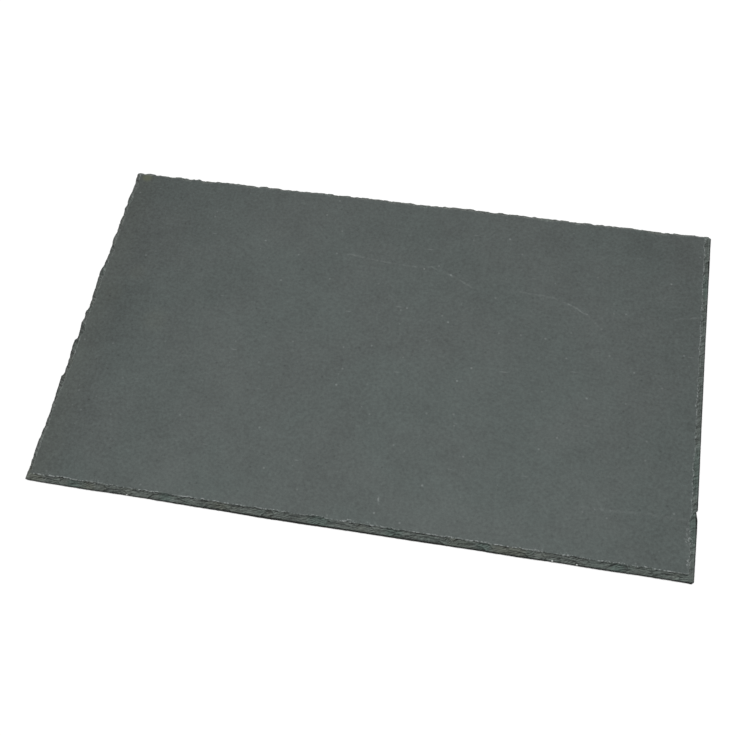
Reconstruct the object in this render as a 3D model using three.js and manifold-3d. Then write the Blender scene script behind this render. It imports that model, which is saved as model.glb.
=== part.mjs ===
// A dressed slate slab: one thin sheet of natural slate, split along its cleavage into two flat
// faces and trimmed to a rectangle by knocking flakes off its upper edge all the way round.
// Millimetres. X runs along the long side, Y from the near edge to the far edge and Z up.
// The origin is at the centre of the footprint, on the face that it rests on.

import * as THREE from 'three';
import Module from 'manifold-3d';

// Driving dimensions of the slab
const slabLength = 530;
const slabWidth = 325;
const slabThickness = 5;

// The dressed edge: a low upright lip at the foot, then a broken slope up to the arris
const lipHeight = 0.8;
const stationStep = 24;
const arrisWander = 0.25;

// How a knocked-off flake is shaped
const cutterOutside = 4;
const cutterAbove = 2;
const shallowestShoulder = 0.2;
const wallLean = 0.3;
const floorDip = 0.3;
const arcSpacing = 3.6;
const fewestArcSteps = 3;
const mostArcSteps = 7;
const arcWander = 0.06;
const arcFlatness = 0.45;

// Small flakes between the main ones
const smallFlakeSeed = 4127;
const arrisFlakes = { gap: [18, 32], half: [2.5, 6], bite: [-0.2, 0.3], floor: [3.8, 4.4], tilt: 0.06 };
const slopeFlakes = { gap: [24, 44], half: [9, 18], bite: [-2.2, -0.9], floor: [1.9, 3], tilt: 0.04 };

// Shallow splits on the resting face, as [x, y, half length, half width, depth]
const underSplits = [
  [-118, 96, 64, 31, 0.35],
  [171, -74, 52, 38, 0.3],
  [196, 112, 33, 22, 0.3],
  [-207, -103, 30, 24, 0.35],
];
const splitCorners = 14;
const splitWander = 0.16;

// The four edges. Places are measured along the edge from its middle, and inwards from the plain
// rectangle, so a negative inward distance stands proud of it. "foot" is the outline at the foot of
// the edge. "flakes" are the main scars, as [place, half length, reach, floor height, tilt]: reach
// is how far in the scar's back wall stands, and tilt is the floor's rise along the edge
const edges = [
  {
    name: 'near',
    runsAlong: 'x',
    side: -1,
    arris: 5.5,
    foot: [
      [-262, 0.9], [-252, 0.6], [-235, 0.5], [-215, 0.3], [-195, 0.5], [-178, 0.6], [-160, 0.5],
      [-140, 0.2], [-120, 0], [-100, -0.1], [-85, -0.3], [-70, -0.6], [-45, -0.6], [-25, -0.5],
      [-8, -0.3], [10, -0.2], [30, -0.2], [50, -0.25], [70, -0.1], [90, 0.1], [110, 0],
      [135, -0.15], [152, 0.15], [168, 0.3], [182, 0.05], [205, 0.1], [225, 0.3], [245, 0.2],
      [263, -0.1],
    ],
    flakes: [
      [-231, 12, 5.6, 3.8, 0.03], [-205, 12, 5.8, 3.6, 0], [-189, 6, 5.6, 4, 0.02],
      [-163, 7, 5.4, 3.9, 0.05], [-146, 14, 5.8, 3.2, 0.08], [-126, 7, 5.6, 4, 0],
      [-109, 13, 5.4, 3.8, -0.02], [-86, 8, 5.1, 3.4, 0.1], [-72, 7, 5.6, 3.9, 0],
      [-61, 6, 5.2, 3, 0.12], [-48, 6, 5.5, 3.7, 0], [-24, 15, 5.9, 3.3, 0.04],
      [1, 2.6, 6.1, 4.2, 0], [5, 2.2, 5.8, 4.1, 0], [15, 8, 5.4, 3.9, -0.03],
      [34, 9, 5.4, 3.7, 0.03], [47, 8, 5.5, 3.8, 0], [59, 6, 5.5, 3.9, 0],
      [69, 5, 5.5, 4, 0.04], [80, 4, 5.2, 3, 0], [88, 5, 5.6, 4.1, 0],
      [108, 8, 5.6, 3.3, 0], [122, 6, 5.5, 4, -0.04], [135, 8, 5.4, 3.8, 0.03],
      [149, 6, 5.8, 3.2, 0], [175, 6, 5.5, 3.9, 0.03], [184, 5, 5.4, 3.7, 0],
      [198, 4, 5.5, 3.9, 0], [209, 9, 5.5, 3.2, 0.02], [227, 8, 5.4, 3.8, -0.03],
      [238, 5, 5.5, 4, 0], [248, 6, 5.4, 3.8, 0],
    ],
  },
  {
    name: 'right',
    runsAlong: 'y',
    side: 1,
    arris: 5.1,
    foot: [
      [-161, 0.3], [-148, 0.15], [-135, 0], [-118, -0.2], [-95, -0.1], [-70, -0.1], [-50, 0],
      [-25, 0.1], [0, 0.1], [25, 0.15], [50, 0.2], [75, 0.05], [95, -0.05], [115, -0.15],
      [130, -0.3], [145, -0.2], [161, -0.3],
    ],
    flakes: [
      [-150, 7, 5.5, 3.8, 0], [-140, 5, 5.3, 3.9, 0.04], [-131, 2.4, 6.2, 4.1, 0],
      [-126, 2, 6.5, 4.2, 0], [-117, 14, 5.8, 2.5, -0.05], [-96, 8, 5.1, 3.4, 0.04],
      [-80, 7, 5.5, 3.9, 0], [-66, 7, 5.4, 3.8, 0.04], [-45, 5, 5.2, 3.6, 0],
      [-33, 4, 5.3, 3.8, 0], [-12, 7, 5.4, 3, -0.08], [3, 6, 5.2, 3.7, 0],
      [13, 5, 5.2, 3.4, -0.04], [30, 9, 5.9, 3.6, -0.03], [44, 5, 5.3, 3.9, 0],
      [66, 8, 5.7, 3.7, 0], [78, 5, 5.3, 3.2, -0.06], [92, 6, 5.2, 3.8, 0],
      [106, 5, 5.3, 2.8, -0.06], [118, 6, 5.2, 3.6, 0], [133, 6, 5.4, 3.5, -0.04],
      [148, 7, 5.2, 3.8, 0],
    ],
  },
  {
    name: 'far',
    runsAlong: 'x',
    side: 1,
    arris: 5,
    foot: [
      [-263, 0.2], [-257, 0.5], [-252, -0.3], [-246, 0.6], [-238, 0.1], [-231, 0.8],
      [-221, -0.1], [-214, 0.9], [-205, 0.1], [-195, 1.1], [-187, 0.1], [-182, 0.7],
      [-175, 0.1], [-166, -0.2], [-158, 0.6], [-153, 0.2], [-147, 0.7], [-140, -0.6],
      [-134, 0.5], [-127, 0], [-123, 0.6], [-118, 0], [-112, 0.4], [-102, 0], [-96, 0.4],
      [-90, -0.1], [-84, -0.6], [-76, -0.5], [-69, 0.4], [-62, -0.6], [-56, -0.3],
      [-51, -0.8], [-45, -0.3], [-35, -1.4], [-27, -0.5], [-18, 0.1], [-5, -0.4], [3, 0.2],
      [10, 0.4], [20, -0.1], [30, -0.7], [38, -1.1], [45, -0.6], [52, -1.5], [60, -0.4],
      [73, -0.3], [81, -1.1], [88, -0.2], [97, -0.8], [104, 0.1], [111, -0.7], [118, 0.1],
      [131, -0.2], [140, 0], [148, 0.2], [158, -0.1], [164, 0.5], [169, -0.2], [175, 0.4],
      [182, -0.7], [188, 0.2], [197, -0.2], [208, 0.5], [216, 0.9], [226, 0.8], [233, 0.2],
      [240, 0.8], [247, 0.3], [252, -0.2], [257, 0.4], [263, 0.2],
    ],
    flakes: [
      [-231, 7, 6, 3.4, 0], [-214, 7, 6.4, 2.8, 0], [-195, 8, 6.7, 2.4, 0.03],
      [-152, 11, 6.1, 3, 0], [-124, 6, 5.6, 3.5, 0], [-69, 7, 5.8, 3.2, 0],
      [-18, 10, 5.7, 3.4, 0], [10, 7, 5.9, 3, 0], [66, 8, 5.4, 3.6, 0.03],
      [120, 12, 5.7, 3.2, 0], [150, 9, 5.6, 3.6, 0], [176, 6, 5.7, 3.4, 0],
      [220, 13, 6.6, 2.6, -0.02], [240, 6, 6.1, 3.1, 0],
    ],
  },
  {
    name: 'left',
    runsAlong: 'y',
    side: -1,
    arris: 5.1,
    foot: [
      [-161, 0.7], [-150, 0.6], [-140, 0.4], [-128, 0], [-120, 0.1], [-112, 0.6],
      [-100, 0.4], [-88, 0.1], [-81, -0.6], [-76, -0.3], [-67, -1], [-63.5, -1.3],
      [-62.3, 0.1], [-57, 0.4], [-48, 0], [-41, -0.6], [-36, -1.4], [-27, -1.2],
      [-25.6, 0.2], [-20, 0.5], [-14, -0.2], [-9, -1], [-5, -0.1], [1, -0.9], [3.4, -0.7],
      [4.6, 0.4], [12, 0.6], [20, 0], [30, -0.4], [38, -1], [46, -1.5], [53, -0.4],
      [60, 0.5], [70, 0.6], [78, 0.1], [84, -0.5], [90, 0.6], [97, 0.4], [103, -0.1],
      [110, 0.5], [119, -0.4], [124, 0.4], [131, -0.2], [140, 0.7], [150, 0.7], [156, -0.1],
      [161, -0.1],
    ],
    flakes: [
      [-148, 9, 5.3, 3.6, 0], [-112, 10, 5.4, 3.4, 0], [-96, 7, 5.1, 3.6, 0.03],
      [-73, 6, 4.9, 3.2, 0], [-55, 9, 5.8, 2.8, 0.04], [-19, 8, 5.7, 2.7, 0.03],
      [-4, 5, 5.1, 3.3, 0], [11, 9, 5.5, 3, 0], [29, 8, 4.7, 3.6, 0], [65, 12, 5.7, 2.8, 0],
      [93, 7, 5.5, 3.1, 0], [110, 6, 5.2, 3.3, 0], [125, 5, 5.3, 3.2, 0],
      [144, 10, 5.7, 2.9, 0.02],
    ],
  },
];

const wasm = await Module();
wasm.setup();

// A fixed chain of numbers, so that the small flakes fall in the same places every time
const chainModulus = 2147483647;
const chainFactor = 16807;
let chainState = smallFlakeSeed;

function between(low, high) {
  chainState = (chainState * chainFactor) % chainModulus;
  return low + ((high - low) * chainState) / chainModulus;
}

function halfLengthOf(edge) {
  return (edge.runsAlong === 'x' ? slabLength : slabWidth) / 2;
}

// A point given by its place along an edge, its distance inwards and its height
function onEdge(edge, along, inwards, height) {
  const across = edge.side * ((edge.runsAlong === 'x' ? slabWidth : slabLength) / 2 - inwards);
  if (edge.runsAlong === 'x') return new THREE.Vector3(along, across, height);
  return new THREE.Vector3(across, along, height);
}

// A closed solid through rings that have the same number of points, lowest ring first
function loft(givenRings) {
  const plan = givenRings[0].map((point) => new THREE.Vector2(point.x, point.y));
  const clockwise = THREE.ShapeUtils.isClockWise(plan);
  const rings = givenRings.map((ring) => (clockwise ? [...ring].reverse() : ring));
  const count = plan.length;
  const triangles = [];
  for (let level = 0; level < rings.length - 1; level += 1) {
    const below = level * count;
    const above = below + count;
    for (let index = 0; index < count; index += 1) {
      const next = (index + 1) % count;
      triangles.push(below + index, below + next, above + next);
      triangles.push(below + index, above + next, above + index);
    }
  }
  const capOf = (ring) => {
    const flat = ring.map((point) => new THREE.Vector2(point.x, point.y));
    return THREE.ShapeUtils.triangulateShape(flat, []);
  };
  const topStart = (rings.length - 1) * count;
  for (const [a, b, c] of capOf(rings[0])) triangles.push(c, b, a);
  for (const [a, b, c] of capOf(rings[rings.length - 1])) {
    triangles.push(topStart + a, topStart + b, topStart + c);
  }
  const mesh = new wasm.Mesh({
    numProp: 3,
    vertProperties: new Float32Array(rings.flat().flatMap((point) => point.toArray())),
    triVerts: new Uint32Array(triangles),
  });
  return new wasm.Manifold(mesh);
}

// The foot's outline along one edge, with extra stations where its listed points are far apart
function footStations(edge) {
  const stations = [];
  for (let index = 0; index < edge.foot.length - 1; index += 1) {
    const [fromPlace, fromInwards] = edge.foot[index];
    const [toPlace, toInwards] = edge.foot[index + 1];
    const steps = Math.ceil((toPlace - fromPlace) / stationStep);
    for (let step = 0; step < steps; step += 1) {
      const share = step / steps;
      stations.push([
        THREE.MathUtils.lerp(fromPlace, toPlace, share),
        THREE.MathUtils.lerp(fromInwards, toInwards, share),
      ]);
    }
  }
  stations.push(edge.foot[edge.foot.length - 1]);
  return stations;
}

// The trimmed sheet before its flakes come off: foot, lip and arris, corner to corner
function trimmedSheet() {
  const foot = [];
  const lip = [];
  const arris = [];
  for (const edge of edges) {
    const stations = footStations(edge);
    const backwards = edge.name === 'far' || edge.name === 'left';
    if (backwards) stations.reverse();
    const mitre = 1 - edge.arris / halfLengthOf(edge);
    for (const [place, inwards] of stations) {
      const arrisInwards = edge.arris + between(-arrisWander, arrisWander);
      foot.push(onEdge(edge, place, inwards, 0));
      lip.push(onEdge(edge, place, inwards, lipHeight));
      arris.push(onEdge(edge, place * mitre, arrisInwards, slabThickness));
    }
  }
  return loft([foot, lip, arris]);
}

// How far in a flake's floor comes out on the broken slope: the scar tapers to points at this line
function scarShoulder(edge, reach, floor) {
  const slope = (slabThickness - lipHeight) / edge.arris;
  const line = (floor - floorDip * reach - lipHeight) / (slope - floorDip);
  return Math.max(shallowestShoulder, line);
}

// What one flake takes away: a scallop in plan, with a sloping floor along the cleavage and a back
// wall that leans back as it rises
function flakeCutter(edge, place, half, reach, floor, tilt) {
  const steps = THREE.MathUtils.clamp(Math.round((2 * half) / arcSpacing), fewestArcSteps, mostArcSteps);
  const top = slabThickness + cutterAbove;
  const shoulder = scarShoulder(edge, reach, floor);
  const outline = [[-half, -cutterOutside]];
  for (let step = 0; step <= steps; step += 1) {
    const share = (2 * step) / steps - 1;
    const wander = 1 + between(-arcWander, arcWander);
    const depth = (reach - shoulder) * Math.cos((Math.PI / 2) * share) ** arcFlatness * wander;
    outline.push([half * share, shoulder + depth]);
  }
  outline.push([half, -cutterOutside]);
  const floorRing = [];
  const topRing = [];
  for (const [along, inwards] of outline) {
    const height = floor - floorDip * (reach - inwards) + tilt * along;
    const rise = top - height;
    const lean = inwards > 0 ? wallLean * rise : 0;
    const spread = 1 + (wallLean * rise) / half;
    floorRing.push(onEdge(edge, place + along, inwards, height));
    topRing.push(onEdge(edge, place + along * spread, inwards + lean, top));
  }
  return loft([floorRing, topRing]);
}

// Small flakes of one kind along an edge, at uneven gaps. "bite" is counted from the arris
function smallFlakeCutters(edge, kind) {
  const cutters = [];
  const end = halfLengthOf(edge);
  let place = -end + between(...kind.gap) / 2;
  while (place < end) {
    const half = between(...kind.half);
    const reach = edge.arris + between(...kind.bite);
    const floor = between(...kind.floor);
    cutters.push(flakeCutter(edge, place, half, reach, floor, between(-kind.tilt, kind.tilt)));
    place += between(...kind.gap);
  }
  return cutters;
}

// A shallow uneven patch that has split away from the resting face
function underSplitCutter(x, y, halfLength, halfWidth, depth) {
  const lower = [];
  const upper = [];
  for (let corner = 0; corner < splitCorners; corner += 1) {
    const angle = (2 * Math.PI * corner) / splitCorners;
    const size = 1 + between(-splitWander, splitWander);
    const px = x + halfLength * size * Math.cos(angle);
    const py = y + halfWidth * size * Math.sin(angle);
    lower.push(new THREE.Vector3(px, py, -cutterAbove));
    upper.push(new THREE.Vector3(px, py, depth));
  }
  return loft([lower, upper]);
}

// The whole slab, cut and then centred over its footprint
function slabGeometry() {
  let slab = trimmedSheet();
  for (const edge of edges) {
    const cutters = edge.flakes.map((flake) => flakeCutter(edge, ...flake));
    cutters.push(...smallFlakeCutters(edge, arrisFlakes));
    cutters.push(...smallFlakeCutters(edge, slopeFlakes));
    for (const cutter of cutters) slab = slab.subtract(cutter);
  }
  for (const split of underSplits) slab = slab.subtract(underSplitCutter(...split));
  const mesh = slab.getMesh();
  const geometry = new THREE.BufferGeometry();
  geometry.setAttribute('position', new THREE.BufferAttribute(mesh.vertProperties, 3));
  geometry.setIndex(new THREE.BufferAttribute(mesh.triVerts, 1));
  geometry.computeBoundingBox();
  const middle = geometry.boundingBox.getCenter(new THREE.Vector3());
  geometry.translate(-middle.x, -middle.y, -geometry.boundingBox.min.z);
  geometry.computeVertexNormals();
  return geometry;
}

// Dull blue-grey slate with a faint green cast
const slate = new THREE.MeshStandardMaterial({ color: 0x5a605e, roughness: 0.85, metalness: 0, flatShading: true });

const slab = new THREE.Mesh(slabGeometry(), slate);
slab.name = 'slate_slab';

const part = new THREE.Group();
part.add(slab);

export default part;
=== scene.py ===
import math

import bmesh
import bpy
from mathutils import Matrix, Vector, noise
from mathutils.bvhtree import BVHTree
from mathutils.kdtree import KDTree


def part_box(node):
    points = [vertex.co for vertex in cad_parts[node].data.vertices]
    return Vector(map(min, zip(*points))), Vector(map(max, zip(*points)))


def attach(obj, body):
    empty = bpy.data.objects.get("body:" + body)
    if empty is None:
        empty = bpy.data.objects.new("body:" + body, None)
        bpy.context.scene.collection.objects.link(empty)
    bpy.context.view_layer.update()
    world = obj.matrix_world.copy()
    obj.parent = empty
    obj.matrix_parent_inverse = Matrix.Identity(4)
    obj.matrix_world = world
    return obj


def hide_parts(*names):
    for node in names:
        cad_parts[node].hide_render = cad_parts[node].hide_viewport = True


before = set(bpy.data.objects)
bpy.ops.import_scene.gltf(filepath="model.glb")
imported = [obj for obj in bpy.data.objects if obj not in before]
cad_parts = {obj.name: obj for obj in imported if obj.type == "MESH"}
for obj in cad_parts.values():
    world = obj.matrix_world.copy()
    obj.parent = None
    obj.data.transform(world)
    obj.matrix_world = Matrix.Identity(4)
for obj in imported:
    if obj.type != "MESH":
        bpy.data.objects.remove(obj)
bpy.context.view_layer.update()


# The slab's skin. The real piece is one sheet of slate, split along its cleavage into two flat
# faces, and dressed by knocking flakes off its upper edge. It starts here as a flat sheet, as large
# as the upper face with the broken slopes folded up level, and finer towards its border.
plain_length = 0.530
plain_width = 0.325
plain_middle = Vector((0.0006, -0.00045, 0))
lip_middle = 0.0004
edge_run = 0.0052
sheet_cells = (133, 81)
finer_within = (0.0145, 0.0115, 0.0088)

slab_low, slab_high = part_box("slate_slab")
thickness = slab_high.z - slab_low.z
slope_length = math.hypot(edge_run, thickness - lip_middle)
sheet_half = (
    plain_length / 2 - edge_run + slope_length,
    plain_width / 2 - edge_run + slope_length,
)


def border_distance(point):
    """How far in from the border of the flat sheet a point stands"""
    return min(sheet_half[0] - abs(point.x), sheet_half[1] - abs(point.y))


def select_faces(piece, chosen):
    """Selects the faces of a piece in edit mode whose middle point is chosen, and nothing else"""
    bpy.ops.mesh.select_all(action="DESELECT")
    shape = bmesh.from_edit_mesh(piece.data)
    for face in shape.faces:
        face.select_set(chosen(face.calc_center_median()))
    bmesh.update_edit_mesh(piece.data)


bpy.ops.object.select_all(action="DESELECT")
bpy.ops.mesh.primitive_grid_add(x_subdivisions=sheet_cells[0], y_subdivisions=sheet_cells[1], size=1)
slab = bpy.context.object
slab.name = "slab"
slab.scale = (2 * sheet_half[0], 2 * sheet_half[1], 1)
bpy.ops.object.transform_apply(location=False, rotation=False, scale=True)
bpy.ops.object.mode_set(mode="EDIT")
bpy.ops.mesh.select_mode(type="FACE")
for reach in finer_within:
    select_faces(slab, lambda middle: border_distance(middle) < reach)
    bpy.ops.mesh.subdivide(number_cuts=1, ngon=False)
bpy.ops.object.mode_set(mode="OBJECT")


# The broken edge. Each point of the sheet is laid on the solid along a line that leans out over the
# slope, so it takes the solid's chips. Ledges where layers broke off, crumbs and small bites come
# on top by chance. The near and right slopes are eased, as their real scars are shallower.
cast_clearance = 0.004
cast_length = 0.014
steep_until = 0.0012
slanting_until = 0.009
upright_from = 0.016
stray_from = 0.0025
stray_wide = 0.0005
stray_fine = 0.0003
ledge_height = 0.00092
ledge_slant_long = 220
ledge_slant_short = -520
ledge_wave = 1.2
ledge_shake = 0.45
ledge_least = 0.3
ledges_from = 0.0012
whole_depth = 0.00008
broken_depth = 0.0003
rough_depth = 0.00012
rough_wide = 0.00013
rough_fine = 0.0001
crumbs_begin = (0.0045, 0.006)
crumbs_end = (0.0095, 0.0078)
crumb_depth = 0.0001
face_roll = 0.00012
face_roll_begins = (0.006, 0.02)
near_ease = 0.45
near_ease_begins = (0.001, 0.003)
right_ease = 0.35
right_ease_begins = (0.0025, 0.0045)
right_foot_ease = 0.7
right_foot_ends = (0.004, 0.001)
far_bite = 0.0006
left_bite = 0.0004
bite_reach = 0.0065
bite_ends = (0.012, 0.006)
wander_seed = 5

# Without a seed of its own, noise_vector gives other vectors in each run
noise.seed_set(wander_seed)


def smooth_step(low, high, value):
    """Eases from 0 at the low value to 1 at the high one, which may also lie below it"""
    share = min(1.0, max(0.0, (value - low) / (high - low)))
    return share * share * (3 - 2 * share)


def wander(point, size, seed):
    """A smooth chance vector that changes over the given size in metres"""
    return noise.noise_vector((point + Vector((seed, seed, seed))) / size)


def chance(point, size, seed):
    """A smooth chance value, mostly between -0.5 and 0.5, that changes over the given size"""
    return noise.noise((point + Vector((seed, seed, seed))) / size)


def edge_profile(up_slope):
    """How far in and how high the plain edge stands at a distance up its slope, and how it leans"""
    share = min(1.0, up_slope / slope_length)
    inwards = edge_run * share + max(0.0, up_slope - slope_length)
    height = lip_middle + (thickness - lip_middle) * share
    quarter = math.pi / 4
    lean = math.pi / 2 - quarter * smooth_step(0, steep_until, up_slope)
    lean -= quarter * smooth_step(slanting_until, upright_from, up_slope)
    return inwards, height, lean


def plain_normal(sides, distances):
    """Which way the plain skin faces at a point of the sheet"""
    if min(distances) > slope_length:
        return Vector((0, 0, 1))
    outwards = (thickness - lip_middle) / slope_length
    upwards = edge_run / slope_length
    if distances[0] < distances[1]:
        return Vector((sides[0] * outwards, 0, upwards))
    return Vector((0, sides[1] * outwards, upwards))


def on_short_edge(point):
    """Whether a point stands nearer to the left or right edge than to the other two"""
    return plain_length / 2 - abs(point.x) < plain_width / 2 - abs(point.y)


def ledge_drop(point, below, broken):
    """How far the stone drops at its ledges, which run slantwise up the slope"""
    if on_short_edge(point):
        slant = ledge_slant_short * point.y
    else:
        slant = ledge_slant_long * point.x
    layers = below / ledge_height + slant
    layers += ledge_wave * chance(point, 0.012, 1.3) + ledge_shake * chance(point, 0.0035, 5.9)
    share = layers - math.floor(layers)
    patch = ledge_least + (1 - ledge_least) * smooth_step(-0.25, 0.25, chance(point, 0.009, 9.4))
    return broken * patch * ledge_height * ((1 - (1 - share) ** 3) - share)


def crumb_drop(point, behind):
    """How far small crumbs have come out of the face just behind the arris"""
    near_arris = smooth_step(*crumbs_end, behind) * smooth_step(*crumbs_begin, behind)
    crumb = smooth_step(0.12, 0.3, chance(point, 0.0018, 11.2))
    patch = smooth_step(-0.05, 0.25, chance(point, 0.014, 12.6))
    return near_arris * crumb * patch * crumb_depth


def laid_point(flat, solid):
    """Where a point of the flat sheet comes to lie, and how broken the stone is there"""
    sides = (math.copysign(1, flat.x), math.copysign(1, flat.y))
    distances = (sheet_half[0] - abs(flat.x), sheet_half[1] - abs(flat.y))
    nearest = min(distances)
    in_x, high_x, lean_x = edge_profile(distances[0])
    in_y, high_y, lean_y = edge_profile(distances[1])
    plain = plain_middle + Vector((
        sides[0] * (plain_length / 2 - in_x),
        sides[1] * (plain_width / 2 - in_y),
        min(high_x, high_y),
    ))
    way = Vector((
        sides[0] * math.sin(lean_x),
        sides[1] * math.sin(lean_y),
        math.cos(max(lean_x, lean_y)),
    )).normalized()
    near_edge = 1 - smooth_step(slanting_until, upright_from, nearest)
    near_edge *= smooth_step(0, stray_from, nearest)
    stray = stray_wide * wander(plain, 0.0052, 3.1) + stray_fine * wander(plain, 0.0021, 7.7)
    stray = near_edge * (stray - way * stray.dot(way))
    hit = solid.ray_cast(plain + stray + way * cast_clearance, -way, cast_length)
    facing = plain_normal(sides, distances)
    plain_depth = cast_clearance + stray.dot(facing) / way.dot(facing)
    depth = hit[3] - plain_depth if hit[0] is not None else 0.0
    if on_short_edge(plain) and plain.x > 0:
        depth *= 1 - right_ease * smooth_step(*right_ease_begins, nearest)
    elif plain.y < 0 and not on_short_edge(plain):
        depth *= 1 - near_ease * smooth_step(*near_ease_begins, nearest)
    point = plain - way * depth
    point.z = min(point.z, thickness)
    below = thickness - point.z
    broken = smooth_step(whole_depth, broken_depth, below)
    above_lip = smooth_step(lip_middle, ledges_from, point.z)
    point.z -= above_lip * ledge_drop(plain, below, broken)
    point.z -= (1 - broken) * crumb_drop(plain, nearest)
    rough = rough_depth + rough_wide * chance(plain, 0.0026, 2.2) + rough_fine * chance(plain, 0.0013, 4.4)
    if on_short_edge(plain) and plain.x > 0:
        rough *= 1 - right_foot_ease * smooth_step(*right_foot_ends, nearest)
    point -= way * (broken * rough)
    roll = 0.5 + 0.5 * chance(plain, 0.045, 6.2)
    point.z -= (1 - broken) * face_roll * roll * smooth_step(*face_roll_begins, nearest)
    bite = smooth_step(0.0, 0.22, chance(plain, 0.005, 13.7)) * smooth_step(bite_reach, 0, nearest)
    if sides[1] > 0:
        point.y -= far_bite * bite * smooth_step(*bite_ends, distances[1])
    if sides[0] < 0:
        point.x += left_bite * bite * smooth_step(*bite_ends, distances[0])
    point.x = min(max(point.x, slab_low.x), slab_high.x)
    point.y = min(max(point.y, slab_low.y), slab_high.y)
    return point, broken


def solid_of(piece):
    """A tree of a piece's faces that rays can be cast on"""
    shape = bmesh.new()
    shape.from_mesh(piece.data)
    tree = BVHTree.FromBMesh(shape)
    shape.free()
    return tree


solid = solid_of(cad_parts["slate_slab"])
slab.data.attributes.new("broken", "FLOAT", "POINT")
slab.data.attributes.new("rim", "FLOAT", "POINT")
broken_mark = slab.data.attributes["broken"].data
rim_mark = slab.data.attributes["rim"].data
for vertex in slab.data.vertices:
    rim_mark[vertex.index].value = 1000 * border_distance(vertex.co)
    vertex.co, broken_mark[vertex.index].value = laid_point(vertex.co, solid)


# The foot and the resting face, which is the stone's other split face. The sheet's border goes
# straight down to the foot, and a second, coarser sheet closes the slab below. It follows the
# shallow splits in the solid's underside.
under_cells = (76, 46)
under_margin = 0.006
under_roll = 0.00008
under_roll_begins = (0.007, 0.02)
smooth_angle = 35

bpy.ops.object.mode_set(mode="EDIT")
bpy.ops.mesh.select_mode(type="EDGE")
bpy.ops.mesh.select_all(action="DESELECT")
bpy.ops.mesh.select_non_manifold()
bpy.ops.mesh.extrude_edges_move()
bpy.ops.transform.resize(value=(1, 1, 0), center_override=(0, 0, 0))
bpy.ops.object.mode_set(mode="OBJECT")

bpy.ops.object.select_all(action="DESELECT")
bpy.ops.mesh.primitive_grid_add(x_subdivisions=under_cells[0], y_subdivisions=under_cells[1], size=1)
underside = bpy.context.object
underside.scale = (plain_length - 2 * under_margin, plain_width - 2 * under_margin, 1)
underside.location = plain_middle
bpy.ops.object.transform_apply(location=True, rotation=False, scale=True)
for vertex in underside.data.vertices:
    hit = solid.ray_cast(vertex.co - Vector((0, 0, cast_clearance)), Vector((0, 0, 1)), cast_length)
    inner = smooth_step(*under_roll_begins, border_distance(vertex.co - plain_middle))
    roll = under_roll * inner * (0.5 + 0.5 * chance(vertex.co, 0.03, 8.1))
    vertex.co.z = max(0.0, hit[0].z) + roll

slab.select_set(True)
bpy.context.view_layer.objects.active = slab
bpy.ops.object.join()
bpy.ops.object.mode_set(mode="EDIT")
bpy.ops.mesh.select_all(action="DESELECT")
bpy.ops.mesh.select_non_manifold()
bpy.ops.mesh.fill()
bpy.ops.mesh.select_all(action="SELECT")
bpy.ops.mesh.quads_convert_to_tris(quad_method="SHORTEST_DIAGONAL", ngon_method="BEAUTY")
bpy.ops.mesh.normals_make_consistent(inside=False)
bpy.ops.object.mode_set(mode="OBJECT")
bpy.ops.object.shade_smooth_by_angle(angle=math.radians(smooth_angle))


# What the stone's colour follows, kept on the mesh. "arris" is how far a point is from the arris,
# above nought on the broken slope and below nought on the face. "hollow" is how deep a point lies
# in a crevice, and is below nought on a ridge. Both are in millimetres.
arris_within = 0.0075
hollow_passes = 6


def behind_foot(point):
    """How far in from the plain foot a point stands"""
    return min(plain_length / 2 - abs(point.x), plain_width / 2 - abs(point.y))


def mark_arris(piece):
    """Keeps each point's distance from the line where the broken edge begins"""
    data = piece.data
    broken = data.attributes["broken"].data
    on_arris = []
    for edge in data.edges:
        first, second = edge.vertices
        if (broken[first].value < 0.5) != (broken[second].value < 0.5):
            on_arris.append((data.vertices[first].co + data.vertices[second].co) / 2)
    on_arris = [point for point in on_arris if point.z > thickness / 2]
    on_arris = [point for point in on_arris if behind_foot(point) < arris_within]
    tree = KDTree(len(on_arris))
    for index, point in enumerate(on_arris):
        tree.insert(point, index)
    tree.balance()
    mark = data.attributes.new("arris", "FLOAT", "POINT")
    broken = data.attributes["broken"].data
    for vertex in data.vertices:
        distance = 1000 * tree.find(vertex.co)[2]
        behind = broken[vertex.index].value < 0.5 and vertex.co.z > thickness / 2
        mark.data[vertex.index].value = -distance if behind else distance


def mark_hollows(piece, passes):
    """Keeps how far each point lies below the same mesh after some passes of smoothing"""
    eased = piece.copy()
    eased.data = piece.data.copy()
    bpy.context.scene.collection.objects.link(eased)
    bpy.ops.object.select_all(action="DESELECT")
    bpy.context.view_layer.objects.active = eased
    ease = eased.modifiers.new("ease", "SMOOTH")
    ease.iterations = passes
    bpy.ops.object.modifier_apply(modifier=ease.name)
    mark = piece.data.attributes.new("hollow", "FLOAT", "POINT")
    for vertex, soft in zip(piece.data.vertices, eased.data.vertices):
        mark.data[vertex.index].value = 1000 * (soft.co - vertex.co).dot(vertex.normal)
    bpy.data.objects.remove(eased)


mark_arris(slab)
mark_hollows(slab, hollow_passes)
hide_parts("slate_slab")
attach(slab, "root")


# Slate, a fine-grained grey stone with a faint green cast. Its split face is mottled and has a
# salt-like grain, light flecks and a few faint scratches. The broken edge is more varied, carries
# painted shade at its foot, in its crevices and under the near arris, and its arris is bruised pale.
def add_node(tree, kind, feeds=None, **settings):
    """Adds a shader node, sets it up, and feeds its inputs from other nodes or plain values"""
    node = tree.nodes.new(kind)
    for name, value in settings.items():
        setattr(node, name, value)
    for name, value in (feeds or {}).items():
        if isinstance(value, bpy.types.NodeSocket):
            tree.links.new(value, node.inputs[name])
        else:
            node.inputs[name].default_value = value
    return node


def reckon(tree, operation, first, second=0.0, third=0.0):
    """The outcome of a sum on values or sockets"""
    feeds = {0: first, 1: second, 2: third}
    return add_node(tree, "ShaderNodeMath", feeds, operation=operation).outputs[0]


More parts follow.
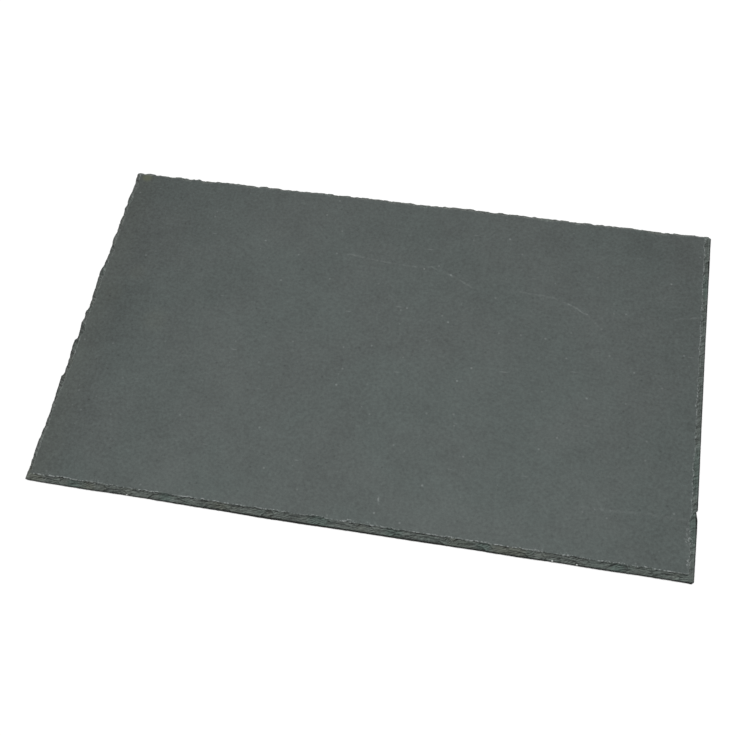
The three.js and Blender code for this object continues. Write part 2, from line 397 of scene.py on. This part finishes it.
def product(tree, *values):
    """All the values multiplied together"""
    total = values[0]
    for value in values[1:]:
        total = reckon(tree, "MULTIPLY", total, value)
    return total


def reckon_vector(tree, operation, first, second=(0, 0, 0), output="Vector"):
    feeds = {0: first, 1: second}
    return add_node(tree, "ShaderNodeVectorMath", feeds, operation=operation).outputs[output]


def scaled(tree, colour, share):
    """A colour or vector times one value"""
    feeds = {0: colour, "Scale": share}
    return add_node(tree, "ShaderNodeVectorMath", feeds, operation="SCALE").outputs["Vector"]


def noise_at(tree, where, size, detail=2.0, roughness=0.5):
    """Noise whose spots are about the given size in metres"""
    feeds = {"Vector": where, "Scale": 1 / size, "Detail": detail, "Roughness": roughness}
    return add_node(tree, "ShaderNodeTexNoise", feeds).outputs["Fac"]


def eased_range(tree, value, low, high, to_low=0.0, to_high=1.0):
    """Goes softly from one outcome to the other while the value goes from low to high"""
    feeds = {"Value": value, "From Min": low, "From Max": high, "To Min": to_low, "To Max": to_high}
    return add_node(tree, "ShaderNodeMapRange", feeds, interpolation_type="SMOOTHSTEP").outputs[0]


def blend(tree, share, first, second):
    """Mixes two colours. The mix node has several sockets of one name, so they go by number"""
    first_colour, second_colour, mixed_colour = 6, 7, 2
    feeds = {"Factor": share, first_colour: first, second_colour: second}
    return add_node(tree, "ShaderNodeMix", feeds, data_type="RGBA").outputs[mixed_colour]


def new_mask_group(name, inputs):
    """A node group that puts out one mask, and its input sockets and output socket"""
    group = bpy.data.node_groups.new(name, "ShaderNodeTree")
    for socket, kind in inputs.items():
        group.interface.new_socket(name=socket, in_out="INPUT", socket_type="NodeSocket" + kind)
    group.interface.new_socket(name="Mask", in_out="OUTPUT", socket_type="NodeSocketFloat")
    given = group.nodes.new("NodeGroupInput").outputs
    return group, given, group.nodes.new("NodeGroupOutput").inputs["Mask"]


def mask_of(tree, group, feeds):
    return add_node(tree, "ShaderNodeGroup", feeds, node_tree=group).outputs["Mask"]


# A stroke is a straight mark between two points, faint at its sides
stroke, given, mask = new_mask_group(
    "stroke", {"Position": "Vector", "Start": "Vector", "End": "Vector", "Width": "Float"}
)
along = reckon_vector(stroke, "SUBTRACT", given["End"], given["Start"])
away = reckon_vector(stroke, "SUBTRACT", given["Position"], given["Start"])
share = reckon(
    stroke, "DIVIDE",
    reckon_vector(stroke, "DOT_PRODUCT", away, along, "Value"),
    reckon_vector(stroke, "DOT_PRODUCT", along, along, "Value"),
)
share = reckon(stroke, "MINIMUM", reckon(stroke, "MAXIMUM", share, 0.0), 1.0)
gap = reckon_vector(stroke, "SUBTRACT", away, scaled(stroke, along, share))
gap = reckon_vector(stroke, "LENGTH", gap, output="Value")
closeness = reckon(stroke, "SUBTRACT", 1.0, reckon(stroke, "DIVIDE", gap, given["Width"]))
closeness = reckon(stroke, "MAXIMUM", closeness, 0.0)
stroke.links.new(closeness, mask)

# A patch is a soft round area about a point
patch, given, mask = new_mask_group(
    "patch", {"Position": "Vector", "Middle": "Vector", "Radius": "Float"}
)
away = reckon_vector(patch, "DISTANCE", given["Position"], given["Middle"], "Value")
share = reckon(patch, "DIVIDE", away, given["Radius"])
patch.links.new(eased_range(patch, share, 1.0, 0.3), mask)

# Flecks are small marks in random places. "Share" is how many of the places are filled
flecks, given, mask = new_mask_group(
    "flecks", {"Position": "Vector", "Spacing": "Float", "Size": "Float", "Share": "Float"}
)
feeds = {"Vector": given["Position"], "Scale": reckon(flecks, "DIVIDE", 1.0, given["Spacing"])}
cells = add_node(flecks, "ShaderNodeTexVoronoi", feeds, feature="F1")
luck = add_node(flecks, "ShaderNodeSeparateColor", {"Color": cells.outputs["Color"]}).outputs
away = reckon(flecks, "MULTIPLY", cells.outputs["Distance"], given["Spacing"])
size = reckon(flecks, "MULTIPLY", given["Size"], eased_range(flecks, luck["Green"], 0.0, 1.0, 0.6, 1.3))
closeness = reckon(flecks, "SUBTRACT", 1.0, reckon(flecks, "DIVIDE", away, size))
closeness = reckon(flecks, "MAXIMUM", closeness, 0.0)
filled = reckon(flecks, "LESS_THAN", luck["Red"], given["Share"])
flecks.links.new(product(flecks, closeness, filled, luck["Blue"]), mask)

warm_face = (0.0758, 0.0888, 0.0844, 1)
cool_face = (0.0735, 0.0892, 0.0842, 1)
olive_face = (0.0767, 0.0886, 0.0794, 1)
green_edge = (0.098, 0.112, 0.103, 1)
teal_edge = (0.082, 0.107, 0.096, 1)
olive_edge = (0.102, 0.109, 0.090, 1)
grey_edge = (0.095, 0.105, 0.098, 1)
bruise_colour = (0.31, 0.335, 0.33, 1)
nick_colour = (0.60, 0.62, 0.60, 1)
# Painted shade laid on the foot of the broken edge, where it stands in shadow
painted_foot_shade_colour = (0.010, 0.012, 0.010, 1)
stain_colour = (0.115, 0.125, 0.060, 1)
level_tone = 1.011
tone_along_y = -0.63
mottle_share = 0.31
blotch_share = 0.27
grain_share = 1.12
dark_fleck_share = -0.5
light_fleck_share = 0.55
stroke_share = 0.33
crystal_radius = 0.0013
shake_reach = 0.0024

slate = bpy.data.materials.new("slate")
slate.use_nodes = True
tree = slate.node_tree
tree.nodes.clear()
where = add_node(tree, "ShaderNodeTexCoord").outputs["Object"]
spot = add_node(tree, "ShaderNodeSeparateXYZ", {0: where}).outputs
broken = add_node(tree, "ShaderNodeAttribute", attribute_name="broken").outputs["Fac"]
arris = add_node(tree, "ShaderNodeAttribute", attribute_name="arris").outputs["Fac"]
hollow = add_node(tree, "ShaderNodeAttribute", attribute_name="hollow").outputs["Fac"]
rim = add_node(tree, "ShaderNodeAttribute", attribute_name="rim").outputs["Fac"]

# The split face: its tone drifts slowly, and is darker along the left, right and far margins
tone = reckon(tree, "MULTIPLY_ADD", spot["Y"], tone_along_y, level_tone)
margins = [
    ("X", -0.10, -0.24, 0.10), ("X", -0.20, -0.245, 0.085),
    ("X", 0.17, 0.25, 0.08), ("Y", 0.10, 0.15, 0.03),
]
for axis, begins, full, shade in margins:
    tone = reckon(tree, "SUBTRACT", tone, eased_range(tree, spot[axis], begins, full, 0.0, shade))
mottle = reckon(tree, "SUBTRACT", noise_at(tree, where, 0.055, 2, 0.7), 0.5)
blotches = reckon(tree, "SUBTRACT", noise_at(tree, where, 0.011, 2, 0.7), 0.5)
grain = reckon(tree, "SUBTRACT", noise_at(tree, where, 0.0027, 2, 0.75), 0.5)
tone = reckon(tree, "MULTIPLY_ADD", mottle, mottle_share, tone)
tone = reckon(tree, "MULTIPLY_ADD", blotches, blotch_share, tone)
tone = reckon(tree, "MULTIPLY_ADD", grain, grain_share, tone)
feeds = {"Position": where, "Spacing": 0.0065, "Size": 0.0011, "Share": 0.35}
tone = reckon(tree, "MULTIPLY_ADD", mask_of(tree, flecks, feeds), dark_fleck_share, tone)

# Clouded places, as x, y, radius and how much lighter they are
clouds = [
    (-0.237, 0.016, 0.026, -0.05), (-0.239, -0.021, 0.020, -0.05), (-0.133, 0.037, 0.024, -0.03),
    (0.244, 0.038, 0.022, -0.03), (0.205, 0.136, 0.026, -0.03), (0.239, -0.052, 0.020, -0.035),
    (-0.208, -0.075, 0.024, 0.045), (-0.254, 0.041, 0.015, 0.05), (0.186, -0.118, 0.034, 0.045),
    (0.153, -0.061, 0.026, 0.04), (0.032, -0.094, 0.045, 0.03), (0.077, -0.127, 0.040, 0.035),
    (-0.036, 0.090, 0.030, 0.03), (-0.128, -0.050, 0.026, 0.03), (-0.231, 0.048, 0.014, 0.05),
]
for x, y, radius, lift in clouds:
    feeds = {"Position": where, "Middle": (x, y, thickness), "Radius": radius}
    tone = reckon(tree, "MULTIPLY_ADD", mask_of(tree, patch, feeds), lift, tone)

cast = eased_range(tree, noise_at(tree, where, 0.09, 3, 0.6), 0.38, 0.62)
face = blend(tree, cast, warm_face, cool_face)
face = blend(tree, eased_range(tree, spot["X"], -0.23, -0.256, 0.0, 0.6), face, olive_face)
for x, y, radius in ((-0.230, 0.047, 0.011), (-0.200, 0.0, 0.016), (-0.245, 0.021, 0.012)):
    feeds = {"Position": where, "Middle": (x, y, thickness), "Radius": radius}
    face = blend(tree, reckon(tree, "MULTIPLY", mask_of(tree, patch, feeds), 0.6), face, olive_face)
face = scaled(tree, face, tone)

# Light flecks and short hair-thin strokes all over
feeds = {"Position": where, "Spacing": 0.0085, "Size": 0.001, "Share": 0.35}
light = reckon(tree, "MULTIPLY", mask_of(tree, flecks, feeds), light_fleck_share)
for turn, shift in ((0.35, 0.0), (-0.9, 0.4)):
    feeds = {"Vector": where, "Location": (shift, 0, 0), "Rotation": (0, 0, turn), "Scale": (0.2, 1, 1)}
    lying = add_node(tree, "ShaderNodeMapping", feeds).outputs[0]
    feeds = {"Position": lying, "Spacing": 0.0048, "Size": 0.0007, "Share": 0.12}
    light = reckon(tree, "MULTIPLY_ADD", mask_of(tree, flecks, feeds), stroke_share, light)

# A few brighter crystals, as x, y and how bright they are
crystals = [
    (0.234, 0.103, 0.3), (-0.124, 0.098, 0.3), (-0.091, 0.087, 0.25), (0.051, 0.036, 0.35),
    (0.067, -0.020, 0.35), (0.077, -0.006, 0.35), (-0.031, -0.039, 0.35), (0.173, -0.020, 0.3),
    (0.209, 0.010, 0.3), (0.021, -0.147, 0.35), (-0.009, 0.003, 0.25), (0.042, -0.152, 0.3),
    (0.092, 0.131, 0.35), (0.134, 0.032, 0.25), (0.014, 0.045, 0.3), (0.022, 0.088, 0.35),
    (0.046, 0.085, 0.3), (0.140, -0.072, 0.25), (0.082, -0.088, 0.25), (0.054, -0.118, 0.35),
    (0.047, -0.054, 0.2), (-0.029, -0.023, 0.25), (-0.085, -0.088, 0.25), (-0.073, -0.123, 0.25),
]
for x, y, brightness in crystals:
    feeds = {"Position": where, "Middle": (x, y, thickness), "Radius": crystal_radius}
    light = reckon(tree, "MULTIPLY_ADD", mask_of(tree, patch, feeds), brightness, light)

# Scratches, as strength, width and path. Each is shaky and worn away in places
scratches = [
    (0.20, 0.0013, [(-0.047, 0.094), (-0.020, 0.091)]),
    (0.16, 0.0012, [(-0.020, 0.091), (0.014, 0.089), (0.028, 0.091), (0.046, 0.085), (0.065, 0.075)]),
    (0.13, 0.0013, [(0.100, 0.0765), (0.136, 0.0745), (0.150, 0.0692)]),
    (0.26, 0.0011, [(0.150, 0.0692), (0.166, 0.0610)]),
    (0.13, 0.0012, [(0.166, 0.0610), (0.1755, 0.0515)]),
    (0.12, 0.0018, [(0.177, -0.116), (0.199, -0.116), (0.230, -0.114), (0.263, -0.114)]),
    (0.16, 0.0011, [(0.235, 0.066), (0.258, 0.072)]),
    (0.50, 0.0011, [(0.0215, -0.133), (0.0230, -0.139)]),
]
shake = add_node(tree, "ShaderNodeTexNoise", {"Vector": where, "Scale": 160, "Detail": 1})
shake = reckon_vector(tree, "SUBTRACT", shake.outputs["Color"], (0.5, 0.5, 0.5))
shaky = reckon_vector(tree, "ADD", where, scaled(tree, shake, shake_reach))
worn = eased_range(tree, noise_at(tree, where, 0.004, 2, 0.6), 0.42, 0.6, 0.2, 1.0)
for strength, width, path in scratches:
    for start, end in zip(path[:-1], path[1:]):
        feeds = {"Position": shaky, "Width": width}
        feeds["Start"] = (*start, thickness)
        feeds["End"] = (*end, thickness)
        mark = reckon(tree, "MULTIPLY", mask_of(tree, stroke, feeds), worn)
        light = reckon(tree, "MULTIPLY_ADD", mark, strength, light)
face = blend(tree, light, face, bruise_colour)

# The broken edge: a greenish stone on the near side and a greyer one on the others, with patches
# of teal and olive. Its layers show as thin dark and light lines, which slant up the slope; they are
# partly the stone's banding and partly painted shade and light of its ledges, strongest on the near side
near_slant = -0.31
far_slant = 0.35
bend_reach = 0.003
near_stretch = (110, 900)
other_stretch = (90, 420)
speckle_share = 0.7
level_edge_tone = 0.97
edge_tone_limits = (0.3, 1.9)


def streak_noise(along, across, stretch, seed):
    """Noise in lines that run along the first value, stretched by (along, across) per metre"""
    feeds = {
        "X": reckon(tree, "MULTIPLY", along, stretch[0]),
        "Y": reckon(tree, "MULTIPLY", across, stretch[1]),
        "Z": seed,
    }
    lines = add_node(tree, "ShaderNodeCombineXYZ", feeds).outputs[0]
    feeds = {"Vector": lines, "Scale": 1.0, "Detail": 3, "Roughness": 0.6}
    return add_node(tree, "ShaderNodeTexNoise", feeds).outputs["Fac"]


up_slope = reckon(tree, "MULTIPLY", spot["Z"], slope_length / (thickness - lip_middle))
bend = reckon(tree, "SUBTRACT", noise_at(tree, where, 0.007, 1, 0.5), 0.5)
up_slope = reckon(tree, "MULTIPLY_ADD", bend, bend_reach, up_slope)
across_near = reckon(tree, "MULTIPLY_ADD", spot["X"], near_slant, up_slope)
across_short = reckon(tree, "ADD", spot["Y"], up_slope)
across_far = reckon(tree, "MULTIPLY_ADD", up_slope, far_slant, spot["X"])
near_streaks = streak_noise(spot["X"], across_near, near_stretch, 0.0)
short_streaks = streak_noise(spot["Y"], across_short, other_stretch, 4.0)
far_streaks = streak_noise(up_slope, across_far, other_stretch, 8.0)
on_far = eased_range(tree, spot["Y"], 0, 0.01)
from_short = reckon(tree, "SUBTRACT", plain_length / 2, reckon(tree, "ABSOLUTE", spot["X"]))
from_long = reckon(tree, "SUBTRACT", plain_width / 2, reckon(tree, "ABSOLUTE", spot["Y"]))
on_short = eased_range(tree, reckon(tree, "SUBTRACT", from_long, from_short), -0.001, 0.001)
on_near = reckon(tree, "MULTIPLY", eased_range(tree, on_short, 1, 0), eased_range(tree, spot["Y"], 0, -0.01))
streaks = blend(tree, on_short, blend(tree, on_far, near_streaks, far_streaks), short_streaks)
streaks = reckon(tree, "SUBTRACT", streaks, 0.5)

# Places on the slope with a teal or an olive cast, as x, y and radius
teal_places = [
    (-0.145, -0.160, 0.008), (-0.020, -0.160, 0.013), (0.038, -0.160, 0.010),
    (0.108, -0.160, 0.008), (0.209, -0.160, 0.009), (-0.222, -0.160, 0.008),
    (0.263, -0.120, 0.025), (0.263, -0.070, 0.036), (0.263, 0.105, 0.020),
]
olive_places = [
    (-0.257, -0.158, 0.014), (-0.210, -0.160, 0.009), (-0.100, -0.160, 0.011),
    (0.090, -0.160, 0.012), (0.128, -0.160, 0.020),
]


def mask_of_places(places, height):
    """One mask for several round places, each given as x, y and radius"""
    total = 0.0
    for x, y, radius in places:
        feeds = {"Position": where, "Middle": (x, y, height), "Radius": radius}
        total = reckon(tree, "MAXIMUM", mask_of(tree, patch, feeds), total)
    return total


elsewhere = reckon_vector(tree, "ADD", where, (0.3, 0.7, 0))
teal = eased_range(tree, noise_at(tree, where, 0.019, 2, 0.5), 0.52, 0.62, 0.0, 0.35)
teal = reckon(tree, "MAXIMUM", teal, eased_range(tree, spot["X"], 0.25, 0.26, 0.0, 0.35))
teal = reckon(tree, "MAXIMUM", teal, mask_of_places(teal_places, thickness / 2))
olive = eased_range(tree, noise_at(tree, elsewhere, 0.017, 2, 0.5), 0.53, 0.64, 0.0, 0.35)
olive = reckon(tree, "MAXIMUM", olive, mask_of_places(olive_places, thickness / 2))
olive = reckon(tree, "MULTIPLY", olive, eased_range(tree, spot["X"], 0.262, 0.25, 0.0, 0.65))
edge = blend(tree, on_near, grey_edge, green_edge)
edge = blend(tree, olive, edge, olive_edge)
edge = blend(tree, teal, edge, teal_edge)
speckle = reckon(tree, "SUBTRACT", noise_at(tree, where, 0.0022, 2, 0.7), 0.5)
# Painted shade and light: the streaks' contrast stands partly for the ledges' shading, more so on the near
# side
contrast = reckon(tree, "MULTIPLY_ADD", on_near, 0.7, 2.7)
edge_tone = reckon(tree, "MULTIPLY_ADD", streaks, contrast, level_edge_tone)
edge_tone = reckon(tree, "MULTIPLY_ADD", speckle, speckle_share, edge_tone)
on_left = reckon(tree, "MULTIPLY", on_short, eased_range(tree, spot["X"], 0.01, 0))
on_right = reckon(tree, "MULTIPLY", on_short, eased_range(tree, spot["X"], 0, 0.01))
# Painted shade and light: the edge is darkened in crevices and lightened on ridges, by how deep each point
# lies
hollow_shade = reckon(tree, "MULTIPLY_ADD", on_short, 1.5, -4.5)
hollow_shade = reckon(tree, "MULTIPLY_ADD", on_near, -1.5, hollow_shade)
edge_tone = reckon(tree, "MULTIPLY_ADD", hollow, hollow_shade, edge_tone)

# The slope's own tone at its foot and at its arris
slope_tones = [(on_near, 0.14, 0.05), (on_left, -0.30, 0.16), (on_right, 0.02, 0.0)]
for side, at_foot, at_arris in slope_tones:
    rise = eased_range(tree, rim, 1.5, 6.5, at_foot, at_arris)
    edge_tone = reckon(tree, "MULTIPLY_ADD", side, rise, edge_tone)
edge_tone = reckon(tree, "MAXIMUM", edge_tone, edge_tone_limits[0])
edge_tone = reckon(tree, "MINIMUM", edge_tone, edge_tone_limits[1])

# Just under the near arris, a thin line of painted shadow stands where a steep riser is in shade
riser_shadow = product(
    tree, on_near,
    eased_range(tree, arris, 0.1, 0.35),
    eased_range(tree, arris, 1.2, 0.6),
    eased_range(tree, noise_at(tree, where, 0.006, 2, 0.5), 0.46, 0.55),
)
edge_tone = reckon(tree, "MULTIPLY", edge_tone, reckon(tree, "MULTIPLY_ADD", riser_shadow, -0.55, 1.0))
edge = scaled(tree, edge, edge_tone)
colour = blend(tree, broken, face, edge)

# The foot is darkened with painted shade, and one corner is stained
foot_shade = reckon(tree, "ADD", on_near, on_right)
foot_shade = reckon(tree, "MULTIPLY_ADD", foot_shade, 0.7, 0.3)
foot_shade = reckon(tree, "MULTIPLY_ADD", on_left, 0.3, foot_shade)
foot_shade = product(tree, foot_shade, eased_range(tree, rim, 1.7, 0.8), broken)
colour = blend(tree, foot_shade, colour, painted_foot_shade_colour)
feeds = {"Position": where, "Middle": (-0.252, 0.154, thickness), "Radius": 0.0065}
stain = reckon(tree, "MULTIPLY", mask_of(tree, patch, feeds), 0.4)
colour = blend(tree, stain, colour, stain_colour)

# Bruises stand along the arris, most on the near and right edges, and in a few crushed places, given
# as x, y and radius. The ridges at the top of the short edges are paler too, and the near foot has
# four bright nicks, given as x and radius
crushed_places = [
    (0.2600, -0.1280, 0.012), (0.148, -0.1555, 0.006), (-0.204, -0.1565, 0.006),
    (0.004, -0.1565, 0.007), (0.170, -0.1555, 0.006), (0.259, -0.148, 0.006),
    (-0.245, -0.1555, 0.006), (0.020, -0.1545, 0.006),
]
nicks = [(-0.177, 0.0009), (-0.0085, 0.0006), (0.1605, 0.001), (0.179, 0.0008)]
nick_y = -0.162
nick_z = 0.0008
fine = noise_at(tree, where, 0.0017, 2, 0.7)
cluster = eased_range(tree, noise_at(tree, where, 0.014, 2, 0.5), 0.34, 0.56, 0.4, 1.0)
bruised = reckon(tree, "MULTIPLY_ADD", on_near, 0.75, 0.25)
bruised = reckon(tree, "MULTIPLY_ADD", on_right, 0.42, bruised)
bruise = product(
    tree, eased_range(tree, fine, 0.44, 0.60), cluster, bruised,
    eased_range(tree, arris, -0.95, -0.35),
    eased_range(tree, arris, reckon(tree, "MULTIPLY_ADD", on_right, 0.8, 0.6), 0.0),
    eased_range(tree, spot["Z"], 0.0034, 0.0042),
)
crushed = product(
    tree, mask_of_places(crushed_places, thickness),
    eased_range(tree, fine, 0.52, 0.66, 0.0, 0.65),
    eased_range(tree, arris, -3.6, -1.2),
    eased_range(tree, spot["Z"], 0.0018, 0.003),
)
bruise = reckon(tree, "MAXIMUM", bruise, crushed)
ridges = product(
    tree, on_short,
    eased_range(tree, streaks, 0.02, 0.12),
    eased_range(tree, arris, -0.8, 0.2),
    eased_range(tree, arris, 3.6, 0.8),
    eased_range(tree, noise_at(tree, elsewhere, 0.013, 2, 0.5), 0.42, 0.58, 0.0, 0.4),
)
bruise = reckon(tree, "MAXIMUM", bruise, ridges)
colour = blend(tree, bruise, colour, bruise_colour)
for x, radius in nicks:
    feeds = {"Position": where, "Middle": (x, nick_y, nick_z), "Radius": radius}
    colour = blend(tree, mask_of(tree, patch, feeds), colour, nick_colour)

# The stone is dull, and duller where it is broken. Its grain and layers also show as a fine bump
dullness = 0.66
grain_dullness = 0.2
broken_dullness = 0.12
bump_strength = 0.6
bump_distance = 0.0006
gloss = 0.3
rough = reckon(tree, "MULTIPLY_ADD", grain, grain_dullness, dullness)
rough = reckon(tree, "MULTIPLY_ADD", broken, broken_dullness, rough)
height = reckon(tree, "MULTIPLY_ADD", broken, streaks, grain)
feeds = {"Height": height, "Strength": bump_strength, "Distance": bump_distance}
bump = add_node(tree, "ShaderNodeBump", feeds)
shader = add_node(tree, "ShaderNodeBsdfPrincipled", {
    "Base Color": colour,
    "Roughness": rough,
    "Normal": bump.outputs[0],
    "Specular IOR Level": gloss,
})
add_node(tree, "ShaderNodeOutputMaterial", {"Surface": shader.outputs["BSDF"]})
slab.data.materials.clear()
slab.data.materials.append(slate)


# The floor is a plain pale sheet under the slab, which glows faintly so that it shows as white.
# It is only the stage, and isn't part of the slab.
floor_half = 6.0
floor_colour = (0.95, 0.95, 0.95, 1)
floor_glow = 0.1

bpy.ops.mesh.primitive_plane_add(size=2 * floor_half, location=(0, 0, 0))
floor = bpy.context.object
floor.name = "floor"
pale = bpy.data.materials.new("pale_floor")
pale.use_nodes = True
pale_shader = pale.node_tree.nodes["Principled BSDF"]
pale_shader.inputs["Base Color"].default_value = floor_colour
pale_shader.inputs["Roughness"].default_value = 1.0
pale_shader.inputs["Emission Color"].default_value = (1, 1, 1, 1)
pale_shader.inputs["Emission Strength"].default_value = floor_glow
floor.data.materials.append(pale)


# Soft studio light: an even pale surround, and one broad lamp from above and behind, a little to
# the left, as in the photo.
surround_strength = 0.53
key_strength = 1.75
key_from = Vector((-0.107, 0.461, 0.881))
key_spread = 30

surround = bpy.data.worlds.new("surround")
bpy.context.scene.world = surround
surround.use_nodes = True
surround.node_tree.nodes["Background"].inputs["Color"].default_value = (1, 1, 1, 1)
surround.node_tree.nodes["Background"].inputs["Strength"].default_value = surround_strength

key = bpy.data.objects.new("key", bpy.data.lights.new("key", "SUN"))
key.data.energy = key_strength
key.data.angle = math.radians(key_spread)
key.rotation_euler = key_from.to_track_quat("Z", "Y").to_euler()
bpy.context.scene.collection.objects.link(key)

bpy.context.scene.view_settings.view_transform = "Standard"


# The camera looks down on the slab from the near side, a little to the right, and leans over. Its
# place and lens were found from the slab's four corners in the photo.
camera_place = Vector((0.12757, -0.49131, 0.82199))
camera_ahead = Vector((-0.1422, 0.4953, -0.8570)).normalized()
camera_up = Vector((-0.1319, 0.8486, 0.5124)).normalized()
lens = 55.89
sensor_width = 36
camera_right = camera_ahead.cross(camera_up).normalized()
camera_up = camera_right.cross(camera_ahead)
camera = bpy.data.objects.new("camera", bpy.data.cameras.new("camera"))
camera.data.lens = lens
camera.data.sensor_width = sensor_width
bpy.context.scene.collection.objects.link(camera)
for row in range(3):
    camera.matrix_world[row][0] = camera_right[row]
    camera.matrix_world[row][1] = camera_up[row]
    camera.matrix_world[row][2] = -camera_ahead[row]
    camera.matrix_world[row][3] = camera_place[row]
bpy.context.scene.camera = camera
